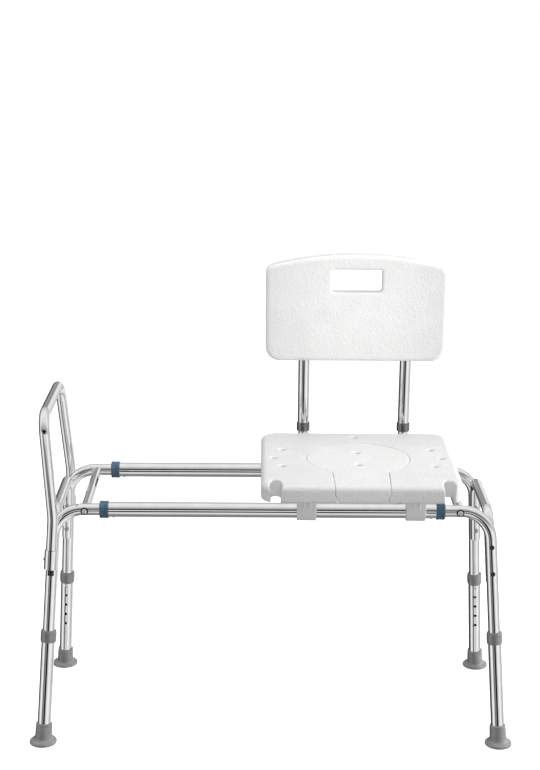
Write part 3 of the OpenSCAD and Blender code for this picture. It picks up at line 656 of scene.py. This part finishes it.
for s, name in ((-1, "left"), (1, "right")):
    v, f = swept_tube([(s * CROSS_X, -0.1255, RAIL_Z), (s * CROSS_X, 0.1255, RAIL_Z)], [], CROSS_D, WALL)
    new_object("end_cross_tube_" + name, v, f, CHROME, "frame", "chrome_tube", ("cross_tube_" + name,))
    # arch brace, drawn in the plane of one end's legs
    s_y = SLOPE_Y * math.cos(TILT_Y)
    gap = (FRAME_D / 2 + ARCH_D / 2 + 0.0004) / math.cos(math.atan(s_y))
    def arch_y(z):
        return -(FOOT_Y - s_y * z) + gap
    top, low = ARCH_TOP / math.cos(TILT_Y), ARCH_END / math.cos(TILT_Y)
    pts = [(0, arch_y(low), low), (0, arch_y(top), top), (0, -arch_y(top), top), (0, -arch_y(low), low)]
    v, f = swept_tube(pts, [ARCH_R, ARCH_R], ARCH_D, WALL)
    place = corner(s, -1) @ Matrix.Translation((FOOT_X, 0, 0)) @ Matrix.Rotation(TILT_Y, 4, "Y")
    new_object("end_arch_brace_" + name, v, f, CHROME, "frame", "chrome_tube", ("arch_brace_" + name,), place)


def handle_point(z):
    return leg_point(z) + Vector((0, -SOCKET_OUT / math.cos(TILT_X), 0))


low_p, knee_p = handle_point(SOCKET_LOW + 0.003), handle_point(HANDLE_BEND)
top_p = Vector((HANDLE_OUT, handle_point(HANDLE_TOP).y, HANDLE_TOP))
flip_y = Matrix.Diagonal((1, -1, 1))
pts = [low_p, knee_p, top_p, flip_y @ top_p, flip_y @ knee_p, flip_y @ low_p]
v, f = swept_tube(pts, [0.170, HANDLE_R, HANDLE_R, 0.170], HANDLE_D, WALL, n=44)
new_object("bent_grab_handle", v, f, CHROME, "frame", "chrome_tube", ("grab_handle",), corner(-1, -1))

for s, name in ((-1, "left"), (1, "right")):
    x = SEAT_X + s * POST_HALF
    v, f = swept_tube([(x, STUB_FRONT, STUB_Z), (x, POST_Y, STUB_Z), (x, POST_Y, STUB_TOP)],
                      [STUB_R], HANDLE_D, WALL)
    new_object("backrest_stub_" + name, v, f, CHROME, "seat", "chrome_tube", ("post_stub_" + name,))
    wall = (FRAME_D - HANDLE_D) / 2 - 0.00005
    v, f = swept_tube([(x, POST_Y, POST_LOW), (x, POST_Y, POST_HIGH)], [], FRAME_D, wall, n=56)
    new_object("backrest_post_" + name, v, f, CHROME, "back", "chrome_tube", ("post_" + name,))

# ---------------------------------------------------------------- legs
leg_bottom = 0.011
holes = []
for i in range(HOLES):
    z = BUTTON_Z * LEG_SCALE - i * PITCH - leg_bottom
    holes += [(math.pi / 2, z, HOLE_D), (0.0, z, HOLE_D)]
drilled = drilled_tube(TUBE_TOP * LEG_SCALE - leg_bottom, LEG_D, (LEG_D - FRAME_D) / 2 - 0.00005, holes)
collar_ring = rounded([(FRAME_D / 2 + 0.0004, 0.0), (0.0157, 0.0), (0.0166, 0.002), (0.0168, 0.008),
                       (0.0168, 0.018), (0.0165, 0.0238), (0.0156, 0.026), (FRAME_D / 2 + 0.0004, 0.026)],
                      [0.0002, 0.0008, 0.0012, 0.002, 0.002, 0.0012, 0.0008, 0.0002])
collar_mesh = ring_lathe(collar_ring, 56)


def foot_field(place):
    """Rubber foot: a cup leaning with the leg, blended into a level flange."""
    inverse = place.inverted()

    def field(x, y, z):
        r = np.hypot(x - FOOT_X, y + FOOT_Y)
        # brim: a thin disc with a raised rim, rising gently towards the cup
        brim = slab(r - 0.029, z, 0.0, 0.0058, 0.001, 0.0026)
        rise = np.maximum(r - 0.027, np.maximum(z - 0.0052 - (0.029 - r) * 0.42, -z))
        rim = np.hypot(r - 0.0264, z - 0.0052) - 0.0013
        lx = inverse[0][0] * x + inverse[0][1] * y + inverse[0][2] * z + inverse[0][3]
        ly = inverse[1][0] * x + inverse[1][1] * y + inverse[1][2] * z + inverse[1][3]
        lz = inverse[2][0] * x + inverse[2][1] * y + inverse[2][2] * z + inverse[2][3]
        lr = np.hypot(lx, ly)
        cup_r = 0.0173 + np.clip(0.044 - lz, 0, 0.04) * 0.035
        cup = slab(lr - cup_r, lz, 0.004, 0.044, 0.001, 0.0016)
        body = smin(smin(smin(brim, rise, 0.001), rim, 0.0008), cup, 0.004)
        body = np.maximum(body, -z)
        bore = np.maximum(lr - (LEG_D / 2 + 0.00002), 0.011 - lz)
        return np.maximum(body, -bore)
    return field


foot_low, foot_high = (FOOT_X - 0.030, -FOOT_Y - 0.030, 0.0), (FOOT_X + 0.030, -FOOT_Y + 0.036, 0.046)
foot_points, foot_quads = moulding(foot_field(on_leg(0)), foot_low, foot_high, 0.0009)
foot_points[:, 2] = np.maximum(foot_points[:, 2], 0.0)


def dome_pin(r, inner, tip):
    """A pin with a domed end, along z."""
    dome = 0.62 * r
    arc = [(r * math.cos(a), tip - dome + dome * math.sin(a)) for a in (0, 0.3, 0.6, 0.9, 1.2, 1.4)]
    shank = [(0, inner), (r - 0.0003, inner), (r, inner + 0.0003), (r, tip - dome - 0.0005)]
    return lathe(shank + arc + [(0, tip)], 28)


BUTTON_IN, BUTTON_OUT = 0.0021, 0.0024            # pressed below a tube's surface, sprung out of it
Y_UP = Matrix.Rotation(-math.pi / 2, 4, "X")      # turns local z to +y
X_UP = Matrix.Rotation(math.pi / 2, 4, "Y")       # turns local z to +x
for key, (s, fc) in CORNERS.items():
    body = "leg_" + key
    place = corner(s, fc) @ on_leg(0) @ Matrix.Translation((0, 0, leg_bottom))
    new_object("drilled_leg_" + key, *drilled, CHROME, body, "chrome_tube", ("leg_tube_" + key,), place)
    place = corner(s, fc) @ on_leg(COLLAR_LOW)
    new_object("leg_locking_collar_" + key, *collar_mesh, GREY, body, "grey_collar",
               ("leg_collar_" + key,), place)
    new_object("rubber_foot_" + key, foot_points, foot_quads.tolist(), RUBBER, body, "foot_rubber",
               ("foot_" + key,), corner(s, fc), sharp=0)
    pin = dome_pin(0.0034, 0.0022, LEG_D / 2 - BUTTON_IN)
    new_object("leg_snap_pin_" + key, *pin, STEEL, "leg_button_" + key, "snap_button",
               ("leg_button_" + key,), corner(s, fc) @ on_leg(BUTTON_Z) @ Y_UP)
    pin = dome_pin(0.0034, 0.0065, RAIL_D / 2 + BUTTON_OUT)
    place = Matrix.Translation((s * (RAIL_HALF - 0.019), fc * RAIL_Y, RAIL_Z)) @ Matrix.Rotation(math.pi, 4, "X")
    new_object("rail_snap_pin_" + key, *pin, STEEL, "rail_button_" + key, "snap_button",
               ("rail_button_" + key,), place)
socket_mid = SOCKET_LOW + SOCKET_H / 2
for fc, name in ((-1, "front"), (1, "rear")):
    pin = dome_pin(0.0034, 0.0055, SOCKET_D / 2 + BUTTON_OUT)
    place = corner(-1, fc) @ on_leg(socket_mid) @ Matrix.Translation((0, -SOCKET_OUT, 0)) @ X_UP
    new_object("handle_snap_pin_" + name, *pin, STEEL, "handle_button_" + name, "snap_button",
               ("handle_button_" + name,), place)
for s, name in ((-1, "left"), (1, "right")):
    pin = dome_pin(0.0034, 0.0012, FRAME_D / 2 - BUTTON_IN)
    place = Matrix.Translation((SEAT_X + s * POST_HALF, POST_Y, POST_BUTTON_Z)) @ Y_UP
    new_object("post_snap_pin_" + name, *pin, STEEL, "post_button_" + name, "snap_button",
               ("post_button_" + name,), place)

# ---------------------------------------------------------------- collars and caps
half, in_r, tube_r = 0.0095, FRAME_D / 2 + 0.00005, RAIL_D / 2 + 0.00005
blue_ring = rounded([(in_r, 0.0), (tube_r, 0.0), (tube_r, -half), (0.0172, -half), (0.0185, -half + 0.0014),
                     (0.0185, -0.0034), (0.0181, -0.0030), (0.0181, 0.0030), (0.0185, 0.0034),
                     (0.0185, half - 0.0014), (0.0172, half), (in_r, half)],
                    [0, 0, 0.0003, 0.0008, 0.0009, 0.0003, 0.0003, 0.0003, 0.0003, 0.0009, 0.0008, 0.0004])
parts = []
for s in (-1, 1):
    for fc in (-1, 1):
        place = corner(s, fc) @ Matrix.Translation((RAIL_HALF, -RAIL_Y, RAIL_Z)) @ X_UP
        parts.append(moved(ring_lathe(blue_ring, 56), place))
new_object("blue_rail_collars", *merge(parts), BLUE, "frame", "blue_collar", ("rail_collars",))

cap_ring = rounded([(0.0115, 0.0), (0.0138, 0.0), (0.0147, 0.0012), (0.0147, 0.0175), (0.0140, 0.020),
                    (FRAME_D / 2 + 0.00002, 0.020), (FRAME_D / 2 + 0.00002, 0.0015), (0.0115, 0.0015)],
                   [0.0003, 0.0008, 0.0008, 0.001, 0.0012, 0.0003, 0, 0.0003])
parts = [moved(ring_lathe(cap_ring, 56), Matrix.Translation((SEAT_X + s * POST_HALF, POST_Y, POST_LOW - 0.0015)))
         for s in (-1, 1)]
new_object("dark_post_caps", *merge(parts), CAP, "back", "dark_cap", ("post_caps",))


def bolt_head(r, h, socket=0.0, n=36):
    """Dome head along -z from 0, with a round socket recess when socket is its radius."""
    arc = [(r * math.cos(a), -h * (0.25 + 0.75 * math.sin(a))) for a in (0, 0.3, 0.6, 0.85, 1.05)]
    profile = [(0, 0.0), (r * 0.98, 0.0), (r, -h * 0.06), (r, -h * 0.25)][1:] + arc[1:]
    if socket:
        profile += [(socket * 1.12, -h), (socket, -h + 0.0002), (socket * 0.95, -h * 0.35), (0, -h * 0.3)]
    else:
        profile += [(r * 0.3, -h * 0.985), (0, -h)]
    profile = [(0, 0.0)] + profile
    v, f = lathe(profile, n)
    return [Vector(p) for p in v], [tuple(reversed(x)) for x in f]


parts, dark_rings = [], []
for s in (-1, 1):
    for fc in (-1, 1):
        place = corner(s, fc) @ Matrix.Translation((CROSS_X, -RAIL_Y - FRAME_D / 2 - 0.0018, RAIL_Z)) @ Y_UP
        parts.append(moved(bolt_head(0.0055, 0.004, 0.0022), place))
        shank = lathe([(0, 0.0), (0.003, 0.0), (0.003, 0.0389), (0.0024, 0.0394), (0, 0.0394)], 24)
        parts.append(moved(shank, place))
        # A dark ring under each cross bolt head.
        dark_ring = ring_lathe(rounded([(0.0031, 0.0), (0.00825, 0.0), (0.00825, 0.0016), (0.0031, 0.0016)],
                                    0.0004), 40)
        dark_rings.append(moved(dark_ring, place))
new_object("cross_tube_bolts", *merge(parts), ZINC, "frame", "steel_fastener", ("cross_bolts",))
new_object("cross_tube_washers", *merge(dark_rings), BLACK_STEEL, "frame", "steel_fastener")

parts, nuts = [], []
for s in (-1, 1):
    for fc in (-1, 1):
        for i, z in enumerate(ARCH_BOLTS):
            lift = 0.0032 if s < 0 and i == 0 else 0.0
            far = FRAME_D / 2 + ARCH_D + 0.0006
            base = corner(s, fc) @ on_leg(z)
            start = -FRAME_D / 2 - 0.0002 - lift
            parts.append(moved(bolt_head(0.0053, 0.0035, 0.0022),
                               base @ Matrix.Translation((0, start, 0)) @ Y_UP))
            length = far + 0.001 - start
            shank = lathe([(0, 0.0), (0.003, 0.0), (0.003, length), (0, length)], 24)
            parts.append(moved(shank, base @ Matrix.Translation((0, start, 0)) @ Y_UP))
            nut = bolt_head(0.0053, 0.004)
            turn = Matrix.Rotation(math.pi, 4, "X")
            nuts.append(moved(nut, base @ Matrix.Translation((0, far, 0)) @ Y_UP @ turn))
new_object("arch_brace_bolts", *merge(parts), BLACK_STEEL, "frame", "dark_bolt", ("arch_bolts",))
new_object("arch_brace_nuts", *merge(nuts), STEEL, "frame", "steel_fastener")

# ---------------------------------------------------------------- seat
EDGE = 0.0115
seat_mid_y = (SEAT_FRONT + SEAT_REAR) / 2
DRAINS = [(s * a, b) for s in (-1, 1)
          for a, b in ((0.163, 0.062), (0.182, 0.002), (0.163, -0.055))] + [(0, 0.158)]


def seat_body(x, y, z):
    d2 = box2(x - SEAT_X, y - seat_mid_y, SEAT_W, SEAT_REAR - SEAT_FRONT, SEAT_CORNER)
    return slab(d2, z, SEAT_LOW, SEAT_TOP, 0.005, EDGE)


def insert_outline(x, y, grow):
    """Disc with a tapered throat running off the front."""
    px, py = x - SEAT_X, y - INSERT_Y
    disc = np.hypot(px, py) - (INSERT_R + grow)
    slope = (THROAT_BACK - THROAT_FRONT) / (INSERT_R * 0.95)
    front = SEAT_FRONT - INSERT_Y
    half_w = THROAT_FRONT + grow + (py - front) * slope * 0.55
    throat = np.maximum(np.abs(px) - half_w, py)
    return smin(disc, throat, 0.006)


def lip_outline(x, y, z, grow):
    taper = (THROAT_FRONT - THROAT_LOW) * np.clip((SEAT_TOP - 0.006 - z) / (SEAT_T - 0.006), 0, 1)
    return np.maximum(np.abs(x - SEAT_X) - (THROAT_FRONT + grow - taper), y - (SEAT_FRONT + LIP_T + grow))


def egg(px, py):
    """Plan of a notch behind its mouth: a wide circle and a narrower one with straight sides between them."""
    r1, r2, h, py = NOTCH_D / 2, NOTCH_NECK / 2, NOTCH_END - NOTCH_MID, py - NOTCH_MID
    b = (r1 - r2) / h
    a = math.sqrt(1 - b * b)
    k = a * py - b * px
    return np.where(k < 0, np.hypot(px, py) - r1,
                    np.where(k > a * h, np.hypot(px, py - h) - r2, a * px + b * py - r1))


def seat_field(x, y, z):
    body = seat_body(x, y, z)
    # keyhole notches
    for s in (-1, 1):
        px, py = np.abs(x - SEAT_X - s * NOTCH_X), y - SEAT_FRONT
        neck = np.maximum(px - NOTCH_NECK / 2 - 0.0035 * np.clip((z - 0.560) / 0.018, 0, 1) ** 2, py - NOTCH_MID)
        draft = 0.001 * (SEAT_TOP - z) / SEAT_T
        soft = 0.0015 + 0.0015 * np.clip((z - 0.560) / 0.014, 0, 1)
        body = smax(body, -smin(egg(px, py) + draft, neck, 0.003), soft)
    # insert recess and the opening below it
    recess = np.maximum(insert_outline(x, y, 0.0), (SEAT_TOP - INSERT_T) - z)
    opening = insert_outline(x, y, -LEDGE)
    lip = lip_outline(x, y, z, 0.0)
    body = smax(body, -np.minimum(np.minimum(recess, opening), lip), 0.0012)
    for dx, dy in DRAINS:
        r = np.hypot(x - SEAT_X - dx, y - INSERT_Y - dy)
        body = smax(body, -(r - 0.0062), 0.007)
    # channels for the backrest stubs, open below
    for s in (-1, 1):
        px = x - SEAT_X - s * POST_HALF
        bar = np.hypot(px, z - STUB_Z) - (HANDLE_D / 2 + 0.0003)
        open_low = np.maximum(np.abs(px) - (HANDLE_D / 2 + 0.0003), z - STUB_Z)
        rise = np.maximum(np.maximum(np.abs(px) - (HANDLE_D / 2 + 0.0003), z - (STUB_Z + STUB_R - 0.004)),
                          np.maximum(STUB_Z - z, (POST_Y - STUB_R - 0.001) - y))
        channel = np.maximum(np.minimum(bar, open_low), (STUB_FRONT - 0.0005) - y)
        body = smax(body, -np.minimum(channel, rise), 0.0015)
    # shallow moulded dimples underneath
    for hx in (-0.140, 0.140):
        for hy in (-0.090, 0.028, 0.092, 0.170):
            r = np.hypot(x - SEAT_X - hx, y - hy)
            cup = np.maximum(r - (0.01667 - (z - SEAT_LOW) * 0.333), z - (SEAT_LOW + 0.005))
            body = smax(body, -cup, 0.0025)
    return body


seat_low, seat_high = (SEAT_X - SEAT_W / 2, SEAT_FRONT, SEAT_LOW), (SEAT_X + SEAT_W / 2, SEAT_REAR, SEAT_TOP)
moulded_object("moulded_seat", seat_field, seat_low, seat_high, 0.0015, WHITE, "seat",
               ("seat_base",))


def insert_field(x, y, z):
    body = seat_body(x, y, z)
    plate = np.maximum(insert_outline(x, y, -INSERT_GAP), (SEAT_TOP - INSERT_T + 0.00015) - z)
    lip = lip_outline(x, y, z, -INSERT_GAP)
    lip = np.maximum(lip, insert_outline(x, y, -INSERT_GAP))
    body = smax(body, np.minimum(plate, lip), 0.0012)
    for dy in (-0.045, 0.041):
        r = np.hypot(x - SEAT_X, y - INSERT_Y - dy)
        body = smax(body, -(r - 0.0062), 0.007)
    grip = np.hypot(x - SEAT_X, y - (INSERT_Y - 0.120)) - 0.025
    return smax(body, -np.maximum(grip, z - (SEAT_TOP - INSERT_T + 0.010)), 0.003)


moulded_object("lift_out_insert", insert_field, (SEAT_X - INSERT_R, SEAT_FRONT, SEAT_LOW),
               (SEAT_X + INSERT_R, INSERT_Y + INSERT_R, SEAT_TOP), 0.0014, INSERT, "insert",
               ("seat_insert",))

# ---------------------------------------------------------------- backrest
rise_r = ((BACK_W / 2 - BACK_CORNER) ** 2 + BACK_RISE ** 2) / (2 * BACK_RISE)
back_mid = (BACK_LOW + BACK_HIGH) / 2


def back_field(x, y, z):
    px = x - SEAT_X
    outline = box2(px, z - back_mid, BACK_W, BACK_HIGH - BACK_LOW, BACK_CORNER)
    arch = np.hypot(px, z - (BACK_HIGH - rise_r)) - rise_r
    outline = smax(outline, arch, 0.001 + 0.015 * np.clip((np.abs(px) - 0.06) / 0.10, 0, 1))
    body = slab(outline, -y, -(BACK_FRONT + BACK_T), -BACK_FRONT, 0.006, 0.0095)
    grip = box2(px, z - GRIP_Z, GRIP_W, GRIP_H, 0.007)
    body = smax(body, -grip, 0.006)
    for s in (-1, 1):
        r = np.hypot(px - s * POST_HALF, y - POST_Y) - (FRAME_D / 2 + 0.00015)
        body = np.maximum(body, -np.maximum(r, z - (POST_HIGH + 0.003)))
    return body


moulded_object("moulded_backrest", back_field, (SEAT_X - BACK_W / 2, BACK_FRONT, BACK_LOW),
               (SEAT_X + BACK_W / 2, BACK_FRONT + BACK_T, BACK_HIGH), 0.0015, WHITE, "back",
               ("backrest",))

# ---------------------------------------------------------------- glide clamps
ear_low = SEAT_LOW - RAIL_Z - 0.0041
GLIDE_SCREW_X = 0.014


def clamp_field(x, y, z):
    ring_d = np.hypot(y, z) - CLAMP_R
    block = np.maximum(np.abs(y) - CLAMP_R, np.maximum(-z, z - (SEAT_LOW - RAIL_Z - 0.0001)))
    ears = np.maximum(np.abs(y) - (CLAMP_R + EAR), np.abs(z - (ear_low + 0.002)) - 0.002)
    outline = smin(np.minimum(ring_d, block), ears, 0.003)
    body = smax(outline, np.abs(x) - CLAMP_W / 2, 0.0025)
    body = smax(body, z - (SEAT_LOW - RAIL_Z - 0.0001), 0.0004)
    rib = np.maximum(np.abs(np.abs(x) - 0.006) - 0.0011, -(z - 0.012))
    rib = np.maximum(rib, np.abs(y) - (CLAMP_R + EAR - 0.003))
    rib = np.maximum(rib, (np.abs(y) - CLAMP_R) - (z - 0.012) * 0.75)
    rib = np.maximum(rib, z - ear_low)
    body = smin(body, rib, 0.0015)
    body = smax(body, -(np.hypot(y, z) - (RAIL_D / 2 + 0.00035)), 0.001)
    for sx in (-GLIDE_SCREW_X, GLIDE_SCREW_X):
        for sy in (-1, 1):
            r = np.hypot(x - sx, y - sy * (CLAMP_R + EAR / 2)) - 0.0025
            body = np.maximum(body, -r)
    return body


clamp_low = (-CLAMP_W / 2, -CLAMP_R - EAR, -CLAMP_R)
clamp_high = (CLAMP_W / 2, CLAMP_R + EAR, SEAT_LOW - RAIL_Z)
cv, cf = moulding(clamp_field, clamp_low, clamp_high, 0.0009)
parts = []
for s in (-1, 1):
    for fc in (-1, 1):
        shift = np.array([SEAT_X + s * POST_HALF, fc * RAIL_Y, RAIL_Z])
        parts.append((cv + shift, cf.tolist()))
new_object("rail_glide_clamps", *merge(parts), CLAMP, "seat", "white_clamp", ("glide_clamps",), sharp=0)

# ---------------------------------------------------------------- carried-over CAD nodes
CARRIED = {"handle_socket_front": CHROME, "handle_socket_rear": CHROME, "glide_screws": STEEL,
           "back_screws": STEEL, "lock_housing": CLAMP, "lock_pin": CLAMP, "post_plugs": CAP}
for name, material in CARRIED.items():
    data = nodes[name].data
    data.materials.clear()
    data.materials.append(material)
    for p in data.polygons:
        p.material_index = 0

for name in ("moulded_seat", "lift_out_insert", "moulded_backrest"):
    bpy.data.objects[name].visible_glossy = False      # the tubes mirror the studio only
